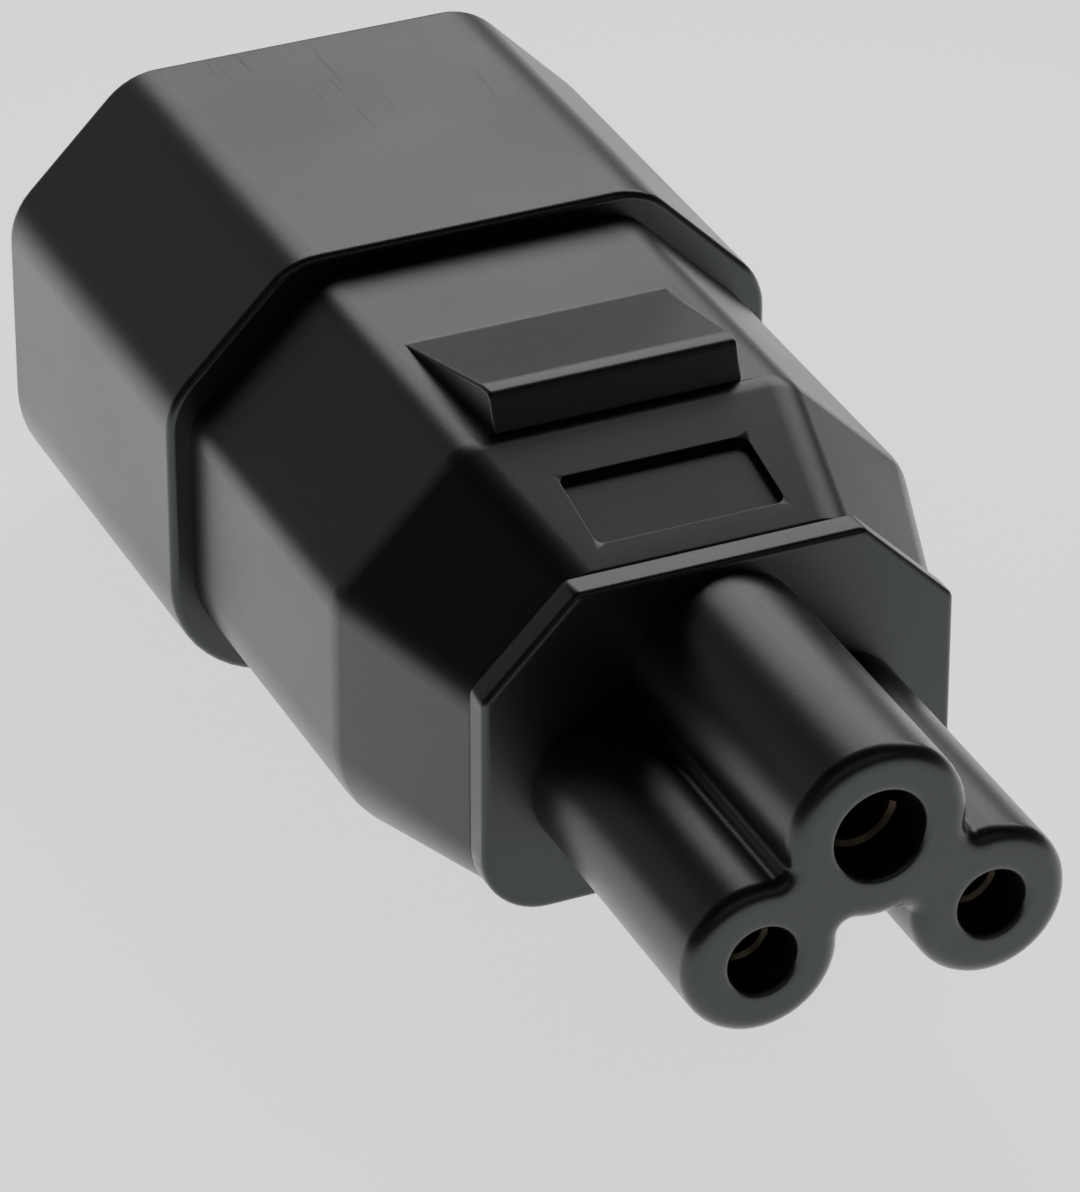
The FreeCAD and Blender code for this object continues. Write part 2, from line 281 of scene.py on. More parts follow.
@dataclass(frozen=True)
class MouldedPlastic:
    """Moulded plastic with a spark-eroded grain, faint flow marks, scuffs and polished edges."""

    name: str
    colour: Colour
    flow_colour: Colour
    roughness: float
    worn_colour: Colour = (0.02, 0.02, 0.02)
    gloss_tint: Colour = (0.94, 1.0, 1.0)
    refraction: float = 1.5
    grain: Clouds = Clouds(0.16, 3.0)
    grain_depth_mm: float = 0.012
    grain_strength: float = 0.35
    grain_relief: float = 0.8
    grain_gloss: float = 0.10
    flow: Clouds = Clouds(6.0, 4.0, stretch=(0.7, 2.2, 0.7), band=(0.35, 0.7))
    flow_relief: float = 0.2
    haze: Clouds = Clouds(15.0, 3.0, band=(0.3, 0.75))
    haze_gloss: float = 0.05
    hairlines: Clouds = Clouds(0.35, 1.0, stretch=(0.5, 14.0, 0.5), band=(0.68, 0.74))
    scuff_wear: float = 0.5
    scuff_gloss: float = 0.08
    edge_wear: float = 0.25
    edge_gloss: float = 0.06

    def material(self) -> bpy.types.Material:
        """Builds the material.

        Returns:
            The finish, ready for a piece.
        """
        bench = ShaderBench(self.name)
        grain = bench.noise(self.grain)
        flow = bench.noise(self.flow)
        haze = bench.noise(self.haze)
        scuffs = bench.noise(self.hairlines) * haze
        edge = bench.attribute(EDGE_LAYER)
        colour = bench.blend(flow, self.colour, self.flow_colour)
        wear = scuffs * self.scuff_wear + edge * self.edge_wear
        colour = bench.blend(wear, colour, self.worn_colour)
        roughness = self.roughness + (grain - NOISE_MIDDLE) * self.grain_gloss + haze * self.haze_gloss
        roughness = roughness - edge * self.edge_gloss + scuffs * self.scuff_gloss
        relief = grain * self.grain_relief + flow * self.flow_relief
        return bench.finish(
            {
                "Base Color": colour,
                "Roughness": roughness,
                "IOR": self.refraction,
                "Specular Tint": (*self.gloss_tint, 1.0),
                "Normal": bench.bump(relief, self.grain_depth_mm, self.grain_strength),
            }
        )


@dataclass(frozen=True)
class StampedMetal:
    """Stamped and plated metal with drawing lines and a little tarnish."""

    name: str
    colour: Colour
    tarnish_colour: Colour
    roughness: float
    lines: Clouds = Clouds(0.05, 2.0, stretch=(1.0, 40.0, 1.0))
    line_depth_mm: float = 0.004
    line_strength: float = 0.3
    line_gloss: float = 0.16
    tarnish: Clouds = Clouds(2.4, 4.0, band=(0.42, 0.72))
    tarnish_gloss: float = 0.14

    def material(self) -> bpy.types.Material:
        """Builds the material.

        Returns:
            The finish, ready for a node.
        """
        bench = ShaderBench(self.name)
        lines = bench.noise(self.lines)
        tarnish = bench.noise(self.tarnish)
        shine = (lines - NOISE_MIDDLE) * self.line_gloss
        return bench.finish(
            {
                "Base Color": bench.blend(tarnish, self.colour, self.tarnish_colour),
                "Metallic": 1.0,
                "Roughness": self.roughness + shine + tarnish * self.tarnish_gloss,
                "Normal": bench.bump(lines, self.line_depth_mm, self.line_strength),
            }
        )


@dataclass(frozen=True)
class PaperSweep:
    """Pale matt paper of the studio floor, whose emission paints a pool of light round the adapter that
    fades further out.
    """

    name: str = "floor_paper"
    colour: Colour = (0.86, 0.865, 0.87)
    tone_colour: Colour = (0.82, 0.825, 0.83)
    tone: Clouds = Clouds(72.0, 2.0, band=(0.3, 0.7))
    roughness: float = 0.8
    sheen: float = 0.2
    fibres: Clouds = Clouds(0.8, 4.0)
    fibre_depth_mm: float = 0.02
    fibre_strength: float = 0.1
    fibre_gloss: float = 0.15
    painted_glow: float = 1.35
    painted_pool_mm: float = 55.0
    painted_pool_colour: Colour = (1.0, 1.0, 1.0)
    painted_pool_fade_mm: float = 180.0
    painted_pool_fade_colour: Colour = (0.3, 0.3, 0.3)

    def material(self) -> bpy.types.Material:
        """Builds the material.

        Returns:
            The finish of the floor.
        """
        bench = ShaderBench(self.name)
        fibres = bench.noise(self.fibres)
        tone = bench.noise(self.tone)
        # Painted light: the floor's emission is full within the pool and fades with distance from the
        # adapter.
        painted_pool_fade = bench.distance().between(self.painted_pool_mm * MM, self.painted_pool_fade_mm * MM)
        return bench.finish(
            {
                "Base Color": bench.blend(tone, self.colour, self.tone_colour),
                "Roughness": self.roughness + fibres * self.fibre_gloss,
                "Specular IOR Level": self.sheen,
                "Emission Color": bench.blend(painted_pool_fade, self.painted_pool_colour, self.painted_pool_fade_colour),
                "Emission Strength": self.painted_glow,
                "Normal": bench.bump(fibres, self.fibre_depth_mm, self.fibre_strength),
            }
        )


COLLAR_BLACK = MouldedPlastic(
    "collar_black", colour=(0.0045, 0.0047, 0.0048), flow_colour=(0.006, 0.0064, 0.0064), roughness=0.34
)
GRIP_BLACK = MouldedPlastic(
    "grip_black", colour=(0.0042, 0.0045, 0.0046), flow_colour=(0.0056, 0.006, 0.006), roughness=0.36
)
NOSE_BLACK = MouldedPlastic(
    "nose_black", colour=(0.0042, 0.0044, 0.0045), flow_colour=(0.0054, 0.0057, 0.0057), roughness=0.34
)
CAP_GREY = MouldedPlastic(
    "cap_grey",
    colour=(0.1, 0.1, 0.1),
    flow_colour=(0.12, 0.12, 0.12),
    roughness=0.45,
    worn_colour=(0.2, 0.2, 0.2),
)
NICKEL_BLADE = StampedMetal(
    "nickel_blade", colour=(0.72, 0.69, 0.63), tarnish_colour=(0.5, 0.46, 0.38), roughness=0.26
)
# Sleeve bronze darker than its own tinned colour: partly tarnish, partly painted shade for the sleeves deep
# in the entry holes.
SLEEVE_BRONZE_PAINTED_SHADE = StampedMetal(
    "sleeve_bronze_painted_shade", colour=(0.27, 0.225, 0.16), tarnish_colour=(0.13, 0.1, 0.066), roughness=0.46
)
RIVET_BRASS = StampedMetal(
    "rivet_brass", colour=(0.7, 0.55, 0.3), tarnish_colour=(0.45, 0.33, 0.18), roughness=0.32
)


# Outlines across the length of the adapter, and the skins made from them. All in millimetres.


class Pen:
    """Draws a closed outline in a plane across Y."""

    def __init__(self, mesh: bmesh.types.BMesh, y: float, start: Vector) -> None:
        """Puts the pen down.

        Args:
            mesh: Mesh to draw in.
            y: Place of the plane.
            start: First point, as (x, z).
        """
        self.mesh = mesh
        self.y = y
        self.first = mesh.verts.new((start.x, y, start.y))
        self.last = self.first

    def line_to(self, point: Vector) -> None:
        """Draws a straight line.

        Args:
            point: Where it ends, as (x, z).
        """
        ahead = self.mesh.verts.new((point.x, self.y, point.y))
        self.mesh.edges.new((self.last, ahead))
        self.last = ahead

    def arc_to(self, centre: Vector, end: Vector, turn: Turn) -> None:
        """Draws an arc.

        Args:
            centre: Middle of the circle, as (x, z).
            end: Where the arc stops; only its direction from the centre counts.
            turn: Which way it runs.
        """
        here = Vector((self.last.co.x, self.last.co.z)) - centre
        there = end - centre
        start_angle = math.atan2(here.y, here.x)
        end_angle = math.atan2(there.y, there.x)
        angle = (turn.value * (end_angle - start_angle)) % math.tau
        made = bmesh.ops.spin(
            self.mesh,
            geom=[self.last],
            cent=(centre.x, self.y, centre.y),
            axis=(0, -turn.value, 0),
            angle=angle,
            steps=max(FEWEST_ARC_STEPS, round(angle / ARC_STEP)),
            use_merge=False,
        )
        self.last = next(item for item in made["geom_last"] if isinstance(item, bmesh.types.BMVert))

    def close(self) -> Ring:
        """Joins the end to the start.

        Returns:
            The outline's edges in order.
        """
        if (self.last.co - self.first.co).length < CLOSING_GAP:
            bmesh.ops.weld_verts(self.mesh, targetmap={self.last: self.first})
        else:
            self.mesh.edges.new((self.last, self.first))
        return ring_of(self.first)


def ring_of(vert: bmesh.types.BMVert) -> Ring:
    """Walks round a free closed ring.

    Args:
        vert: A vertex on it.

    Returns:
        The ring's edges in order.
    """
    edge = vert.link_edges[0]
    ring = [edge]
    here = edge.other_vert(vert)
    while here is not vert:
        edge = next(link for link in here.link_edges if link is not edge)
        ring.append(edge)
        here = edge.other_vert(here)
    return ring


@dataclass(frozen=True)
class KeyedOutline:
    """Box with rounded lower corners and its two upper corners cut off at 45 degrees."""

    half_width: float
    bottom: float
    top: float
    chamfer: float
    corner_radius: float
    ridge_radius: float

    def inset(self, wall: float) -> "KeyedOutline":
        """Moves the outline inwards.

        Args:
            wall: How far, the same all round.

        Returns:
            The smaller outline.
        """
        cut_loss = wall * (2 - math.sqrt(2))
        return replace(
            self,
            half_width=self.half_width - wall,
            bottom=self.bottom + wall,
            top=self.top - wall,
            chamfer=self.chamfer - cut_loss,
            corner_radius=max(self.corner_radius - wall, self.ridge_radius),
        )

    def trace(self, mesh: bmesh.types.BMesh, y: float) -> Ring:
        """Draws the outline, from the lower right corner round to the lower left one.

        Args:
            mesh: Mesh to draw in.
            y: Place of its plane.

        Returns:
            The outline's edges.
        """
        radius = self.ridge_radius
        reach = radius * math.tan(CUT_ANGLE / 2)
        slant = Vector((1, 1)).normalized() * radius
        foot = Vector((self.half_width - self.corner_radius, self.bottom + self.corner_radius))
        lower = Vector((self.half_width - radius, self.top - self.chamfer - reach))
        upper = Vector((self.half_width - self.chamfer - reach, self.top - radius))
        right = [
            (foot, foot + Vector((0, -self.corner_radius)), foot + Vector((self.corner_radius, 0))),
            (lower, lower + Vector((radius, 0)), lower + slant),
            (upper, upper + slant, upper + Vector((0, radius))),
        ]
        left = [(hub * MIRROR, end * MIRROR, start * MIRROR) for hub, start, end in reversed(right)]
        (first_hub, first_start, first_end), *others = right + left
        pen = Pen(mesh, y, first_start)
        pen.arc_to(first_hub, first_end, Turn.LEFT)
        for hub, start, end in others:
            pen.line_to(start)
            pen.arc_to(hub, end, Turn.LEFT)
        return pen.close()


@dataclass(frozen=True)
class CloverOutline:
    """Three merged barrels: a centre one above two side ones, with rounded valleys between them."""

    half_pitch: float
    side_z: float
    centre_z: float
    side_radius: float
    centre_radius: float
    outer_valley: float
    inner_valley: float

    def valley(self, radius: float, side: Valley) -> tuple[Vector, Vector, Vector]:
        """Works out the arc that fills a valley between the centre barrel and the left one.

        Args:
            radius: Radius of the arc.
            side: Which of the two valleys.

        Returns:
            The hub, and the points where the arc leaves the centre barrel and the left barrel.
        """
        left = Vector((-self.half_pitch, self.side_z))
        centre = Vector((0, self.centre_z))
        along = (left - centre).normalized()
        across = Vector((along.y, -along.x)) * side.value
        span = (left - centre).length
        from_centre = self.centre_radius + radius
        from_left = self.side_radius + radius
        run = (from_centre**2 - from_left**2 + span**2) / (2 * span)
        hub = centre + along * run + across * math.sqrt(from_centre**2 - run**2)
        on_centre = centre + (hub - centre).normalized() * self.centre_radius
        on_left = left + (hub - left).normalized() * self.side_radius
        return hub, on_centre, on_left

    def inset(self, wall: float) -> "CloverOutline":
        """Moves the outline inwards.

        Args:
            wall: How far, the same all round.

        Returns:
            The smaller outline.
        """
        return replace(
            self,
            side_radius=self.side_radius - wall,
            centre_radius=self.centre_radius - wall,
            outer_valley=self.outer_valley + wall,
            inner_valley=self.inner_valley + wall,
        )

    def trace(self, mesh: bmesh.types.BMesh, y: float) -> Ring:
        """Draws the outline, from the centre barrel round by the left one and the right one.

        Args:
            mesh: Mesh to draw in.
            y: Place of its plane.

        Returns:
            The outline's edges.
        """
        left = Vector((-self.half_pitch, self.side_z))
        centre = Vector((0, self.centre_z))
        outer, outer_centre, outer_left = self.valley(self.outer_valley, Valley.OUTER)
        inner, inner_centre, inner_left = self.valley(self.inner_valley, Valley.INNER)
        pen = Pen(mesh, y, outer_centre)
        pen.arc_to(outer, outer_left, Turn.RIGHT)
        pen.arc_to(left, inner_left, Turn.LEFT)
        pen.arc_to(inner, inner_centre, Turn.RIGHT)
        pen.arc_to(centre, inner_centre * MIRROR, Turn.LEFT)
        pen.arc_to(inner * MIRROR, inner_left * MIRROR, Turn.RIGHT)
        pen.arc_to(left * MIRROR, outer_left * MIRROR, Turn.LEFT)
        pen.arc_to(outer * MIRROR, outer_centre * MIRROR, Turn.RIGHT)
        pen.arc_to(centre, outer_centre, Turn.LEFT)
        return pen.close()


@dataclass(frozen=True)
class BevelledBar:
    """Section of a flat bar with its four long edges bevelled."""

    middle: Vector
    half_width: float
    half_height: float
    bevel: float

    def trace(self, mesh: bmesh.types.BMesh, y: float) -> Ring:
        """Draws the outline.

        Args:
            mesh: Mesh to draw in.
            y: Place of its plane.

        Returns:
            The outline's edges.
        """
        quarter = [
            Vector((self.half_width, self.half_height - self.bevel)),
            Vector((self.half_width - self.bevel, self.half_height)),
        ]
        half = quarter + [point * MIRROR for point in reversed(quarter)]
        points = [self.middle + point for point in half + [-point for point in half]]
        pen = Pen(mesh, y, points[0])
        for point in points[1:]:
            pen.line_to(point)
        return pen.close()


@dataclass(frozen=True)
class RoundHole:
    """Circle across the length."""

    middle: Vector
    radius: float

    def trace(self, mesh: bmesh.types.BMesh, y: float) -> Ring:
        """Draws the circle.

        Args:
            mesh: Mesh to draw in.
            y: Place of its plane.

        Returns:
            The circle's edges.
        """
        start = self.middle + Vector((self.radius, 0))
        pen = Pen(mesh, y, start)
        pen.arc_to(self.middle, self.middle - Vector((self.radius, 0)), Turn.LEFT)
        pen.arc_to(self.middle, start, Turn.LEFT)
        return pen.close()


Outline = KeyedOutline | CloverOutline | BevelledBar | RoundHole


class Skin:
    """A closed skin in the making: outlines that are bridged, filled and rounded."""

    def __init__(self) -> None:
        """Starts with no faces, and a layer that marks rounded edges."""
        self.mesh = bmesh.new()
        self.edge_layer = self.mesh.verts.layers.float.new(EDGE_LAYER)

    def rings(self, stations: Iterable[tuple[Outline, float]]) -> list[Ring]:
        """Draws outlines at their stations along Y and bridges each to the next.

        Args:
            stations: Pairs of outline and Y.

        Returns:
            One ring of edges for each station.
        """
        rings = [outline.trace(self.mesh, y) for outline, y in stations]
        for near, far in zip(rings, rings[1:]):
            self.bridge(near, far)
        return rings

    def bridge(self, near: Ring, far: Ring) -> list[bmesh.types.BMFace]:
        """Joins two rings of as many edges by a band of faces.

        The far ring is lifted off for the moment, because the way round can't be told in one plane.

        Args:
            near: First ring.
            far: Second ring.

        Returns:
            The faces of the band.
        """
        verts = list(dict.fromkeys(vert for edge in far for vert in edge.verts))
        lift = Vector((0, RING_LIFT, 0))
        bmesh.ops.translate(self.mesh, verts=verts, vec=lift)
        faces = bmesh.ops.bridge_loops(self.mesh, edges=near + far)["faces"]
        bmesh.ops.translate(self.mesh, verts=verts, vec=-lift)
        return faces

    def fill(self, *rings: Ring) -> None:
        """Fills a flat end.

        Args:
            rings: Its outer ring, and the rings of any holes.
        """
        edges = [edge for ring in rings for edge in ring]
        if len(rings) == 1:
            bmesh.ops.contextual_create(self.mesh, geom=edges)
        else:
            bmesh.ops.triangle_fill(self.mesh, edges=edges, use_beauty=True)

    def round_over(self, edges: Ring, radius: float) -> list[bmesh.types.BMVert]:
        """Rounds edges over, and marks the new vertices as polished.

        Args:
            edges: Edges to round.
            radius: How far the rounding reaches from each edge.

        Returns:
            The vertices of the rounding.
        """
        made = bmesh.ops.bevel(
            self.mesh,
            geom=edges,
            offset=radius,
            offset_type="OFFSET",
            affect="EDGES",
            segments=FEWEST_SEGMENTS + round(radius / SEGMENT_REACH),
            profile=0.5,
            material=-1,
        )
        strip = set(made["faces"])
        for vert in made["verts"]:
            if vert.is_valid and all(face in strip for face in vert.link_faces):
                vert[self.edge_layer] = 1.0
        return made["verts"]

    def piece(self, name: str, material: bpy.types.Material) -> bpy.types.Object:
        """Closes the skin into an object.

        Args:
            name: Name of the object.
            material: Its finish.

        Returns:
            The object, in metres, at the origin.
        """
        bmesh.ops.remove_doubles(self.mesh, verts=self.mesh.verts, dist=WELD_GAP)
        bmesh.ops.recalc_face_normals(self.mesh, faces=self.mesh.faces)
        bmesh.ops.scale(self.mesh, vec=(MM, MM, MM), verts=self.mesh.verts)
        loose = [edge for edge in self.mesh.edges if not edge.is_manifold]
        data = bpy.data.meshes.new(name)
        self.mesh.to_mesh(data)
        self.mesh.free()
        data.shade_smooth()
        data.set_sharp_from_angle(angle=SHARP_ANGLE)
        data.materials.append(material)
        piece = bpy.data.objects.new(name, data)
        bpy.context.scene.collection.objects.link(piece)
        normals = piece.modifiers.new("flat_faces", "WEIGHTED_NORMAL")
        normals.keep_sharp = True
        LOG.info("%s: %d faces, %d open edges", name, len(data.polygons), len(loose))
        return piece


def stand_for(piece: bpy.types.Object, node: str) -> None:
    """Lets a piece ride on the adapter in place of a node of the frame.

    Args:
        piece: The new piece.
        node: The node that it replaces.
    """
    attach(piece, "root")
    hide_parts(node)


# Sub-assemblies.


@dataclass(frozen=True)
class Span:
    """Box of one node of the frame, in millimetres."""

    low: Vector
    high: Vector

    @classmethod
    def of(cls, node: str) -> "Span":
        """Reads the box from the frame."""
        low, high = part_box(node)
        return cls(low / MM, high / MM)

    @property
    def middle(self) -> Vector:
        """Centre of the box across Y, as (x, z)."""
        return Vector((self.low.x + self.high.x, self.low.z + self.high.z)) / 2


@dataclass(frozen=True)
class Layout:
    """Boxes of the main nodes, which give the stations along Y."""

    shroud: Span
    grip: Span
    nose: Span
    cap: Span

    @classmethod
    def read(cls) -> "Layout":
        """Reads the main nodes from the frame."""
        nodes = ("rear_shroud", "grip_body", "nose_insert", "socket_cap")
        return cls(*(Span.of(node) for node in nodes))


@dataclass(frozen=True)
class Neck:
    """Neck of the collar inside the grip, with its locking groove."""

    inset: float = 4.2
    groove_depth: float = 0.8
    groove_width: float = 1.8


@dataclass(frozen=True)
class RearCollar:
    """Keyed inlet collar with its blade recess and neck."""

    layout: Layout
    neck: Neck = Neck()
    chamfer: float = 5.85
    corner_radius: float = 5.3
    ridge_radius: float = 3.3
    wall: float = 1.9
    recess_corner_radius: float = 2.5
    recess_ridge_radius: float = 0.9
    floor: float = 2.6
    floor_band: float = 0.8
    step_radius: float = 0.35
    rim_radius: float = 0.6
    mouth_radius: float = 0.4
    floor_radius: float = 0.4
    blade_height: float = 4.0
    blade_bevel: float = 0.3
    blade_clearance: float = 0.03

    @property
    def outline(self) -> KeyedOutline:
        """Outer outline of the collar."""
        return KeyedOutline(
            half_width=self.layout.shroud.high.x,
            bottom=self.layout.shroud.low.z,
            top=self.layout.shroud.high.z,
            chamfer=self.chamfer,
            corner_radius=self.corner_radius,
            ridge_radius=self.ridge_radius,
        )

    @property
    def recess(self) -> KeyedOutline:
        """Outline of the blade recess."""
        return replace(
            self.outline.inset(self.wall),
            corner_radius=self.recess_corner_radius,
            ridge_radius=self.recess_ridge_radius,
        )

    def neck_stations(self) -> list[tuple[KeyedOutline, float]]:
        """Lists the outlines of the neck.

        Returns:
            Pairs of outline and Y, from its front end back to the step.
        """
        step_y = self.layout.grip.high.y
        groove_y = step_y - self.neck.groove_width
        outer = self.outline.inset(self.neck.inset)
        inner = outer.inset(self.neck.groove_depth)
        return [(outer, self.layout.shroud.low.y), (outer, groove_y), (inner, groove_y), (inner, step_y)]

    def slots(self) -> list[BevelledBar]:
        """Lists the outlines of the slots that the blades pass through.

        Returns:
            One outline for each blade.
        """
        slots = []
        for node in ("line_blade", "neutral_blade", "earth_blade"):
            box = Span.of(node)
            half_width = (box.high.x - box.low.x) / 2 + self.blade_clearance
            half_height = self.blade_height / 2 + self.blade_clearance
            slots.append(BevelledBar(box.middle, half_width, half_height, self.blade_bevel))
        return slots

    def build(self, material: bpy.types.Material) -> bpy.types.Object:
        """Models the collar.

        Args:
            material: Its finish.

        Returns:
            The piece.
        """
        skin = Skin()
        neck_y = self.layout.shroud.low.y
        step_y = self.layout.grip.high.y
        floor_y = step_y + self.floor
        rim_y = self.layout.shroud.high.y
        stations = self.neck_stations() + [
            (self.outline, step_y),
            (self.outline, rim_y),
            (self.recess, rim_y),
            (self.recess, floor_y),
        ]
        neck_end, *_, step_ring, rim_ring, mouth_ring, floor_ring = skin.rings(stations)
        slot_rings = [skin.rings([(slot, floor_y), (slot, neck_y)]) for slot in self.slots()]
        floor_middle = self.recess.inset(self.floor_band).trace(skin.mesh, floor_y)
        skin.bridge(floor_ring, floor_middle)
        skin.fill(floor_middle, *(rings[0] for rings in slot_rings))
        skin.fill(neck_end, *(rings[1] for rings in slot_rings))
        skin.round_over(step_ring, self.step_radius)
        skin.round_over(rim_ring, self.rim_radius)
        skin.round_over(mouth_ring, self.mouth_radius)
        skin.round_over(floor_ring, self.floor_radius)
        piece = skin.piece("moulded_collar", material)
        stand_for(piece, "rear_shroud")
        return piece


@dataclass(frozen=True)
class FingerWedge:
    """Ramp on top of the grip, up to a narrow level land that ends in a steep front."""

    back_gap: float = 6.9
    run: float = 8.0
    rise: float = 1.65
    land: float = 0.85
    front_lean: float = 0.5
    back_width: float = 12.1
    front_width: float = 11.3
    crest_radius: float = 0.25
    land_radius: float = 0.2
    flank_radius: float = 0.18

    def raise_on(self, skin: Skin, top: bmesh.types.BMFace, step_y: float, top_z: float) -> None:
        """Raises the wedge out of the flat top of the grip.

        Args:
            skin: Skin of the grip.
            top: Its flat top face.
            step_y: Where the grip meets the collar.
            top_z: Height of the flat top.
        """
        back_y = step_y - self.back_gap
        crest_y = back_y - self.run
        foot_y = crest_y - self.front_lean
        bmesh.ops.inset_individual(skin.mesh, faces=[top], thickness=SEED_INSET, use_even_offset=True)
        middle_y = top.calc_center_median().y
        for vert in top.verts:
            at_back = vert.co.y > middle_y
            half_width = (self.back_width if at_back else self.front_width) / 2
            vert.co = (math.copysign(half_width, vert.co.x), back_y if at_back else foot_y, top_z)
        ramp = bmesh.ops.extrude_discrete_faces(skin.mesh, faces=[top])["faces"][0]
        for vert in ramp.verts:
            if vert.co.y < middle_y:
                vert.co.y = crest_y
                vert.co.z = top_z + self.rise
        land_edge = self.level_off(skin, ramp, crest_y + self.land, top_z + self.rise)
        self.round_edges(skin, land_edge, back_y, top_z)

    def level_off(self, skin: Skin, ramp: bmesh.types.BMFace, land_y: float, land_z: float) -> Ring:
        """Turns the upper end of the ramp into a level land.

        Args:
            skin: Skin of the grip.
            ramp: Sloping face of the wedge.
            land_y: Where the land starts.
            land_z: Its height.

        Returns:
            The edge between ramp and land.
        """
        land_share = self.land / self.run
        land_width = self.front_width + (self.back_width - self.front_width) * land_share
        sides = [edge for edge in ramp.edges if edge.calc_length() < self.front_width]
        split = bmesh.ops.bisect_edges(skin.mesh, edges=sides, cuts=1)["geom_split"]
        corners = [item for item in split if isinstance(item, bmesh.types.BMVert)]
        for vert in corners:
            vert.co = (math.copysign(land_width / 2, vert.co.x), land_y, land_z)
        return bmesh.ops.connect_verts(skin.mesh, verts=corners)["edges"]

    def round_edges(self, skin: Skin, land_edge: Ring, back_y: float, top_z: float) -> None:
        """Rounds the wedge's edges over, from the crest to the flanks.

        Args:
            skin: Skin of the grip.
            land_edge: The edge between ramp and land.
            back_y: Where the ramp starts.
            top_z: Height of the flat top.
        """
        back_corners = [vert for vert in skin.mesh.verts if abs(vert.co.y - back_y) < WELD_GAP]
        bmesh.ops.remove_doubles(skin.mesh, verts=back_corners, dist=WELD_GAP)
        back_corners = [vert for vert in back_corners if vert.is_valid]
        halfway_z = top_z + self.rise / 2
        front_y = back_y - self.run + self.land - self.crest_radius
        crest = [
            edge
            for edge in skin.mesh.edges
            if all(vert.co.z > halfway_z and vert.co.y < front_y for vert in edge.verts)
        ]
        heel = [edge for edge in skin.mesh.edges if all(vert in back_corners for vert in edge.verts)]
        skin.round_over(crest, self.crest_radius)
        skin.round_over(land_edge, self.land_radius)
        skin.round_over(heel, self.flank_radius)
        skin.mesh.normal_update()
        flanks = [
            edge
            for edge in skin.mesh.edges
            if any(vert.co.z > top_z + self.flank_radius for vert in edge.verts)
            and sum(abs(face.normal.x) > SIDEWAYS for face in edge.link_faces) == 1
        ]
        skin.round_over(flanks, self.flank_radius)


@dataclass(frozen=True)
class LabelPocket:
    """Shallow bare pocket in the sloping top facet."""

    width: float = 8.5
    start: float = 2.8
    length: float = 4.1
    depth: float = 0.36
    corner_radius: float = 0.4
    rim_radius: float = 0.06

    def sink_into(self, skin: Skin, facet: bmesh.types.BMFace) -> None:
        """Sinks the pocket into a flat facet that slopes down towards -Y.

        Args:
            skin: Skin of the grip.
            facet: The sloping face.
        """
        fold_y = max(vert.co.y for vert in facet.verts)
        seam_y = min(vert.co.y for vert in facet.verts)
        fold = Vector((0, fold_y, max(vert.co.z for vert in facet.verts)))
        down = (Vector((0, seam_y, min(vert.co.z for vert in facet.verts))) - fold).normalized()
        outward = down.cross(Vector((1, 0, 0)))
        middle_y = (fold_y + seam_y) / 2
        bmesh.ops.inset_individual(skin.mesh, faces=[facet], thickness=SEED_INSET, use_even_offset=True)
        for vert in facet.verts:
            reach = self.start if vert.co.y > middle_y else self.start + self.length
            vert.co = fold + down * reach + Vector((math.copysign(self.width / 2, vert.co.x), 0, 0))
        floor = bmesh.ops.extrude_discrete_faces(skin.mesh, faces=[facet])["faces"][0]
        bmesh.ops.translate(skin.mesh, verts=floor.verts, vec=outward * -self.depth)
        floor_edges = list(floor.edges)
        corners = [edge for vert in floor.verts for edge in vert.link_edges if edge not in floor_edges]
        rounded = skin.round_over(corners, self.corner_radius)
        walls = dict.fromkeys(
            face for vert in rounded for face in vert.link_faces if abs(face.normal.dot(outward)) < UPRIGHT
        )
        wall_edges = dict.fromkeys(edge for face in walls for edge in face.edges)
        halfway = fold - outward * (self.depth / 2)
        rim = []
        foot = []
        for edge in wall_edges:
            heights = [(vert.co - halfway).dot(outward) for vert in edge.verts]
            if min(heights) > 0:
                rim.append(edge)
            elif max(heights) < 0:
                foot.append(edge)
        skin.round_over(rim, self.rim_radius)
        skin.round_over(foot, self.rim_radius)


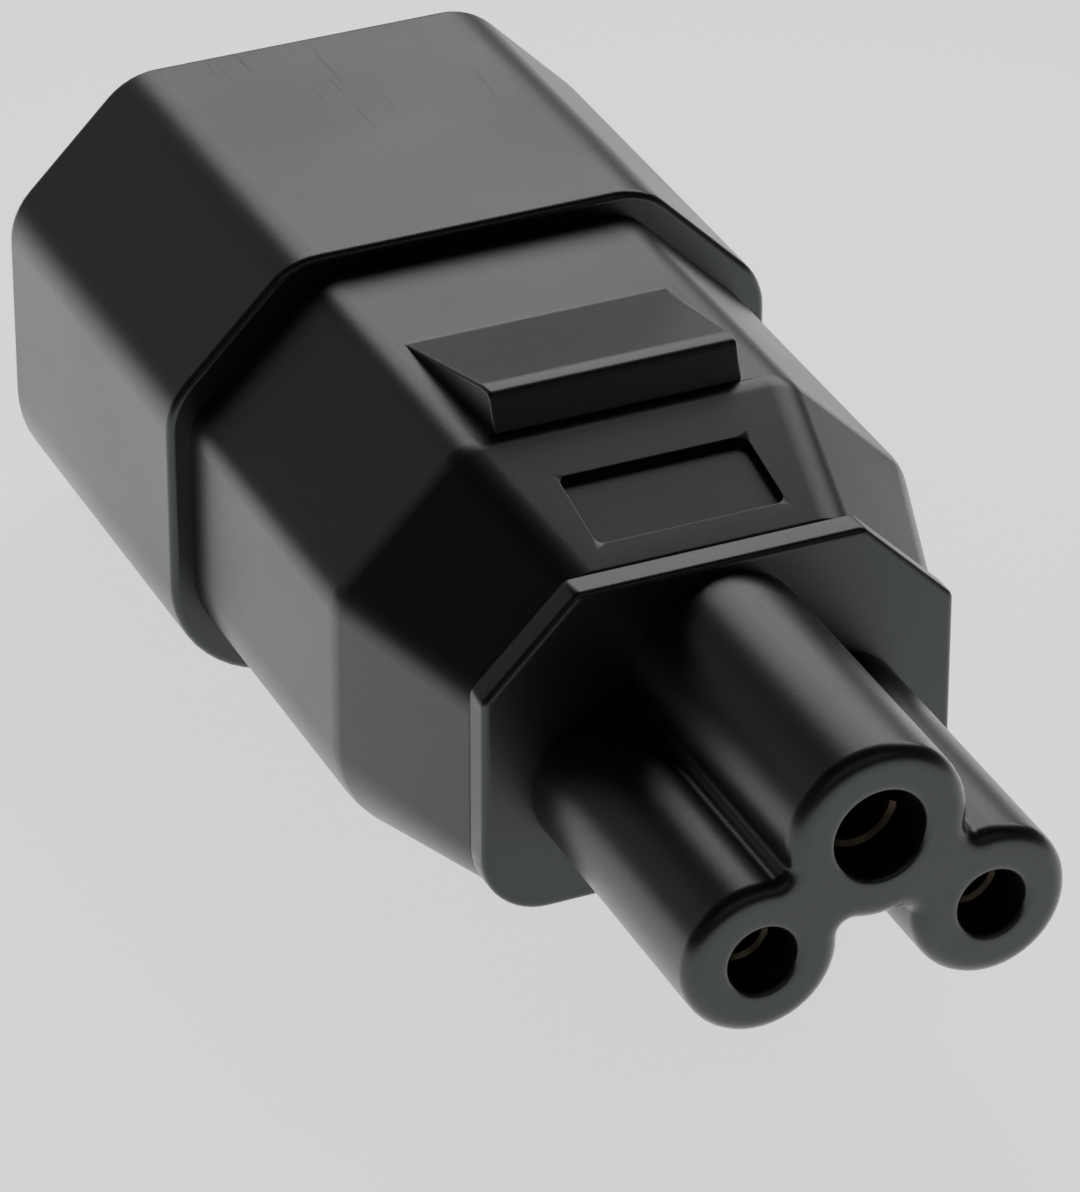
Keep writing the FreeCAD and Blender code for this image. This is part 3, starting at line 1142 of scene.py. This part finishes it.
@dataclass(frozen=True)
class CloverNose:
    """Flange plate with three merged barrels, entry holes and the spigot behind."""

    layout: Layout
    flange_thickness: float = 1.35
    flange_top: float = 17.25
    chamfer: float = 4.2
    corner_radius: float = 3.0
    ridge_radius: float = 0.5
    front_radius: float = 0.25
    back_radius: float = 0.14
    plate_band: float = 0.38
    spigot_inset: float = 1.3
    half_pitch: float = 5.05
    side_z: float = 8.2
    earth_z: float = 12.75
    side_radius: float = 3.4
    earth_radius: float = 3.95
    outer_valley: float = 0.6
    inner_valley: float = 0.6
    tip_radius: float = 0.7
    rim_band: float = 0.9
    side_entry: float = 1.5
    earth_entry: float = 2.0
    side_seat: float = 1.68
    earth_seat: float = 2.13
    lip_depth: float = 2.4
    entry_draft: float = 0.15
    entry_radius: float = 0.25
    hole_band: float = 0.45

    @property
    def flange(self) -> KeyedOutline:
        """Outline of the flange plate."""
        return KeyedOutline(
            half_width=self.layout.nose.high.x,
            bottom=self.layout.nose.low.z,
            top=self.flange_top,
            chamfer=self.chamfer,
            corner_radius=self.corner_radius,
            ridge_radius=self.ridge_radius,
        )

    @property
    def spigot(self) -> KeyedOutline:
        """Outline of the spigot inside the grip."""
        return self.flange.inset(self.spigot_inset)

    @property
    def barrels(self) -> CloverOutline:
        """Outline of the three barrels."""
        return CloverOutline(
            half_pitch=self.half_pitch,
            side_z=self.side_z,
            centre_z=self.earth_z,
            side_radius=self.side_radius,
            centre_radius=self.earth_radius,
            outer_valley=self.outer_valley,
            inner_valley=self.inner_valley,
        )

    def holes(self) -> list[tuple[Vector, float, float]]:
        """Lists the three contact holes.

        Returns:
            Middle, entry radius and seat radius of each.
        """
        left = Vector((-self.half_pitch, self.side_z))
        earth = Vector((0, self.earth_z))
        return [
            (left, self.side_entry, self.side_seat),
            (left * MIRROR, self.side_entry, self.side_seat),
            (earth, self.earth_entry, self.earth_seat),
        ]

    def build(self, material: bpy.types.Material) -> bpy.types.Object:
        """Models the nose.

        Args:
            material: Its finish.

        Returns:
            The piece.
        """
        skin = Skin()
        tip_y = self.layout.nose.low.y
        mouth_y = tip_y + self.lip_depth
        seam_y = self.layout.grip.low.y
        face_y = seam_y - self.flange_thickness
        spigot_y = self.layout.nose.high.y
        spigot_ring, _, back_ring, front_ring, plate_ring = skin.rings(
            [
                (self.spigot, spigot_y),
                (self.spigot, seam_y),
                (self.flange, seam_y),
                (self.flange, face_y),
                (self.flange.inset(self.plate_band), face_y),
            ]
        )
        root_ring, tip_ring, end_ring = skin.rings(
            [
                (self.barrels, face_y),
                (self.barrels, tip_y),
                (self.barrels.inset(self.rim_band), tip_y),
            ]
        )
        hole_rings = [
            skin.rings(
                [
                    (RoundHole(middle, entry + self.hole_band), tip_y),
                    (RoundHole(middle, entry), tip_y),
                    (RoundHole(middle, entry - self.entry_draft), mouth_y),
                    (RoundHole(middle, seat), mouth_y),
                    (RoundHole(middle, seat), spigot_y),
                ]
            )
            for middle, entry, seat in self.holes()
        ]
        skin.fill(plate_ring, root_ring)
        skin.fill(end_ring, *(rings[0] for rings in hole_rings))
        skin.fill(spigot_ring, *(rings[-1] for rings in hole_rings))
        skin.round_over(back_ring, self.back_radius)
        skin.round_over(front_ring, self.front_radius)
        skin.round_over(tip_ring, self.tip_radius)
        for rings in hole_rings:
            skin.round_over(rings[1], self.entry_radius)
        piece = skin.piece("moulded_nose", material)
        stand_for(piece, "nose_insert")
        return piece


@dataclass(frozen=True)
class GripBody:
    """Moulded grip: a straight part with a finger wedge, and a taper with a label pocket."""

    layout: Layout
    collar: RearCollar
    nose: CloverNose
    wedge: FingerWedge = FingerWedge()
    label: LabelPocket = LabelPocket()
    straight_length: float = 15.9
    step: float = 1.0
    chamfer: float = 5.75
    corner_radius: float = 5.1
    ridge_radius: float = 2.2
    fold_reach: float = 0.45
    seam_step: float = 0.12
    seam_chamfer: float = 4.6
    seam_corner_radius: float = 2.8
    seam_radius: float = 0.25

    @property
    def outline(self) -> KeyedOutline:
        """Outline of the straight part."""
        return KeyedOutline(
            half_width=self.layout.grip.high.x,
            bottom=self.layout.grip.low.z,
            top=self.layout.shroud.high.z - self.step,
            chamfer=self.chamfer,
            corner_radius=self.corner_radius,
            ridge_radius=self.ridge_radius,
        )

    @property
    def seam(self) -> KeyedOutline:
        """Outline of the front end of the taper."""
        flange = self.nose.flange
        return KeyedOutline(
            half_width=flange.half_width - self.seam_step,
            bottom=flange.bottom + self.seam_step,
            top=flange.top - self.seam_step,
            chamfer=self.seam_chamfer,
            corner_radius=self.seam_corner_radius,
            ridge_radius=self.ridge_radius,
        )

    def build(self, material: bpy.types.Material) -> bpy.types.Object:
        """Models the grip.

        Args:
            material: Its finish.

        Returns:
            The piece.
        """
        skin = Skin()
        step_y = self.layout.grip.high.y
        fold_y = step_y - self.straight_length
        seam_y = self.layout.grip.low.y
        spigot = self.nose.spigot
        neck_end, *_, neck_root = skin.rings(self.collar.neck_stations())
        step_ring = self.outline.trace(skin.mesh, step_y)
        fold_ring = self.outline.trace(skin.mesh, fold_y)
        seam_ring, _, cap_ring = skin.rings(
            [(self.seam, seam_y), (spigot, seam_y), (spigot, self.layout.cap.high.y)]
        )
        skin.bridge(neck_root, step_ring)
        straight = skin.bridge(step_ring, fold_ring)
        taper = skin.bridge(fold_ring, seam_ring)
        skin.fill(neck_end)
        skin.fill(cap_ring)
        top, facet = [max(band, key=lambda face: face.calc_center_median().z) for band in (straight, taper)]
        self.wedge.raise_on(skin, top, step_y, self.outline.top)
        self.label.sink_into(skin, facet)
        skin.round_over(seam_ring, self.seam_radius)
        skin.round_over(fold_ring, self.fold_reach)
        piece = skin.piece("moulded_grip", material)
        stand_for(piece, "grip_body")
        return piece


@dataclass(frozen=True)
class Contacts:
    """Blades, sleeves, rivets and cap: nodes of the frame that keep their own form."""

    finishes: dict[str, bpy.types.Material]

    def dress(self) -> None:
        """Gives each node its finish."""
        for node, material in self.finishes.items():
            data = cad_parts[node].data
            data.materials.clear()
            data.materials.append(material)
            LOG.info("%s: dressed in %s", node, material.name)


# Studio, in metres and degrees where a name doesn't say millimetres.


@dataclass(frozen=True)
class Stand:
    """Place of a light or the camera, seen from what it looks at."""

    azimuth: float
    elevation: float
    distance: float

    def hang(self, data: bpy.types.ID, target: Vector) -> bpy.types.Object:
        """Adds a light or camera that looks at the target.

        Args:
            data: Settings of the light or camera.
            target: What it looks at; azimuth counts from +Y towards +X.

        Returns:
            The new object.
        """
        azimuth = math.radians(self.azimuth)
        elevation = math.radians(self.elevation)
        level = math.cos(elevation)
        back = Vector((math.sin(azimuth) * level, math.cos(azimuth) * level, math.sin(elevation)))
        hung = bpy.data.objects.new(data.name, data)
        hung.location = target + back * self.distance
        hung.rotation_euler = back.to_track_quat("Z", "Y").to_euler()
        bpy.context.scene.collection.objects.link(hung)
        return hung


@dataclass(frozen=True)
class SoftBox:
    """Rectangular soft light that faces the adapter."""

    name: str
    stand: Stand
    width: float
    height: float
    power: float

    def light(self, target: Vector) -> None:
        """Hangs the light.

        Args:
            target: What it faces.
        """
        data = bpy.data.lights.new(self.name, "AREA")
        data.shape = "RECTANGLE"
        data.size = self.width
        data.size_y = self.height
        data.energy = self.power
        self.stand.hang(data, target)


@dataclass(frozen=True)
class Studio:
    """Pale floor, soft lights and the camera."""

    target_mm: tuple[float, float, float] = (-4.32, -6.74, 11.99)
    camera: Stand = Stand(azimuth=204.04, elevation=31.15, distance=0.30019)
    lens_mm: float = 217.9
    clip_start: float = 0.01
    floor_radius: float = 1.6
    floor_segments: int = 96
    world_colour: Colour = (0.05, 0.052, 0.055)
    lights: tuple[SoftBox, ...] = (
        SoftBox("key_behind_right", Stand(34.0, 34.0, 0.9), width=0.9, height=0.55, power=4.05),
        SoftBox("fill_behind_left", Stand(-24.0, 21.0, 1.0), width=1.2, height=0.45, power=0.65),
        SoftBox("fill_front", Stand(180.0, 42.0, 1.0), width=1.3, height=0.5, power=0.6),
    )

    def build(self) -> None:
        """Sets up floor, world, lights and camera."""
        target = Vector(self.target_mm) * MM
        self.lay_floor()
        world = bpy.data.worlds.new("studio_dark")
        world.use_nodes = True
        world.node_tree.nodes["Background"].inputs["Color"].default_value = (*self.world_colour, 1.0)
        bpy.context.scene.world = world
        for soft_box in self.lights:
            soft_box.light(target)
        lens = bpy.data.cameras.new("camera")
        lens.lens = self.lens_mm
        lens.clip_start = self.clip_start
        bpy.context.scene.camera = self.camera.hang(lens, target)

    def lay_floor(self) -> None:
        """Lays the paper floor under the adapter."""
        mesh = bmesh.new()
        bmesh.ops.create_circle(
            mesh, cap_ends=True, radius=self.floor_radius, segments=self.floor_segments
        )
        data = bpy.data.meshes.new("paper_floor")
        mesh.to_mesh(data)
        mesh.free()
        data.materials.append(PaperSweep().material())
        floor = bpy.data.objects.new("paper_floor", data)
        bpy.context.scene.collection.objects.link(floor)


def main() -> None:
    """Builds the pieces in order, dresses the contacts and sets the studio."""
    logging.basicConfig(level=logging.INFO, format="%(name)s: %(message)s")
    layout = Layout.read()
    collar = RearCollar(layout)
    nose = CloverNose(layout)
    grip = GripBody(layout, collar, nose)
    collar.build(COLLAR_BLACK.material())
    grip.build(GRIP_BLACK.material())
    nose.build(NOSE_BLACK.material())

    blade_metal = NICKEL_BLADE.material()
    # The sleeves' metal carries painted shade for the inside of the entry holes.
    contact_metal_painted_shade = SLEEVE_BRONZE_PAINTED_SHADE.material()
    finishes = {node: blade_metal for node in ("line_blade", "neutral_blade", "earth_blade")}
    finishes |= {node: contact_metal_painted_shade for node in ("line_socket", "neutral_socket", "earth_socket")}
    finishes |= {"contact_rivets": RIVET_BRASS.material(), "socket_cap": CAP_GREY.material()}
    Contacts(finishes).dress()
    Studio().build()


if __name__ == "__main__":
    main()
